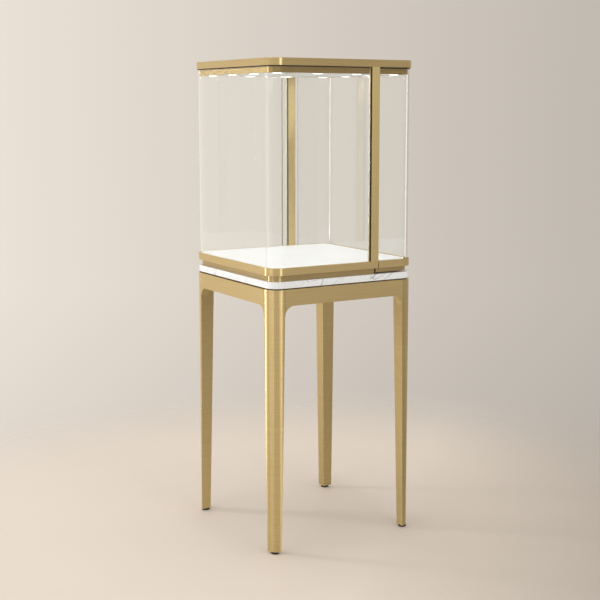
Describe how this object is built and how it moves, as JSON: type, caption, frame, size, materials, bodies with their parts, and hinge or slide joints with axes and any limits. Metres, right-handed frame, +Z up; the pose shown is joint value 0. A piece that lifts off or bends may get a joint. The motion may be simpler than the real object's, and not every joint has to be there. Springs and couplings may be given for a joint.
{
  "type": "glass tower display case",
  "caption": "Square glazed display chamber with downlights and a hinged U-shaped rear door, on a marble slab and a four-legged brass table.",
  "frame": {"origin": "centre of the plan on the floor, at the underside of the foot pads", "axes": "+Z up; front is -Y, the hinged door is at +Y, the door's hinge is at -X"},
  "size_m": [0.45, 0.45, 1.3],
  "materials": {
    "brass": "finely brushed, champagne gold",
    "marble": "polished, fine grey veins",
    "deck_white": "satin white, faint veins",
    "glass": "clear, bent, polished edges",
    "black_rubber": "matte",
    "black_steel": "matte powder coat",
    "zinc_steel": "zinc plated",
    "dark_board": "black lacquered board",
    "white_paint": "satin white",
    "lens": "frosted, lit",
    "heat_sink": "plain",
    "bronze": "turned, oiled",
    "black_plastic": "matte"
  },
  "bodies": {
    "case": {"leg_front_left": "brass", "leg_front_right": "brass", "leg_back_left": "brass", "leg_back_right": "brass", "rail_front": "brass", "rail_back": "brass", "rail_left": "brass", "rail_right": "brass", "plinth_front": "brass", "rim_front": "brass", "jamb_left": "brass", "jamb_right": "brass", "glass_trims": "brass", "upper_band": "brass", "cap_shell": "brass", "cap_plate": "brass", "marble_slab": "marble", "deck_panel": "deck_white", "glass_front": "glass", "jamb_seals": "black_rubber", "glass_bed": "black_rubber", "slab_bed_plate": "black_steel", "pivot_plate": "black_steel", "rail_gussets": "zinc_steel", "foot_sockets": "zinc_steel", "slab_bolts": "zinc_steel", "slab_nuts": "zinc_steel", "cap_posts": "zinc_steel", "cap_screws": "zinc_steel", "tray_posts": "zinc_steel", "tray_screws": "zinc_steel", "pivot_pin_lower": "zinc_steel", "pivot_pin_upper": "zinc_steel", "lock_keeper": "zinc_steel", "base_box": "dark_board", "deck_board": "dark_board", "light_tray": "white_paint", "downlight_rings": "white_paint", "downlight_lenses": "lens", "downlight_bodies": "heat_sink", "led_driver": "heat_sink", "pivot_washer": "bronze", "power_inlet": "black_plastic", "supply_cable": "black_plastic", "light_cable": "black_plastic"},
    "door": {"door_glass": "glass", "door_bottom_rail": "brass", "door_plinth_rail": "brass", "door_top_rail": "brass", "door_bushes": "bronze", "lock_barrel": "zinc_steel"},
    "lock_cam": {"lock_plug_and_cam": "zinc_steel"},
    "foot_front_left": {"foot_pad_front_left": "black_rubber", "foot_stud_front_left": "zinc_steel"},
    "foot_front_right": {"foot_pad_front_right": "black_rubber", "foot_stud_front_right": "zinc_steel"},
    "foot_back_left": {"foot_pad_back_left": "black_rubber", "foot_stud_back_left": "zinc_steel"},
    "foot_back_right": {"foot_pad_back_right": "black_rubber", "foot_stud_back_right": "zinc_steel"}
  },
  "joints": [
    {"name": "door_hinge", "type": "hinge", "parent": "case", "child": "door", "pos_m": [-0.208, 0.125, 0], "axis": [0, 0, 1], "range_deg": [0, 90]},
    {"name": "lock_turn", "type": "hinge", "parent": "door", "child": "lock_cam", "pos_m": [0.15, 0.205, 0.73975], "axis": [0, 1, 0], "range_deg": [0, 90]},
    {"name": "level_front_left", "type": "slide", "parent": "case", "child": "foot_front_left", "axis": [0, 0, -1], "range_m": [0, 0.01]},
    {"name": "level_front_right", "type": "slide", "parent": "case", "child": "foot_front_right", "axis": [0, 0, -1], "range_m": [0, 0.01]},
    {"name": "level_back_left", "type": "slide", "parent": "case", "child": "foot_back_left", "axis": [0, 0, -1], "range_m": [0, 0.01]},
    {"name": "level_back_right", "type": "slide", "parent": "case", "child": "foot_back_right", "axis": [0, 0, -1], "range_m": [0, 0.01]}
  ]
}
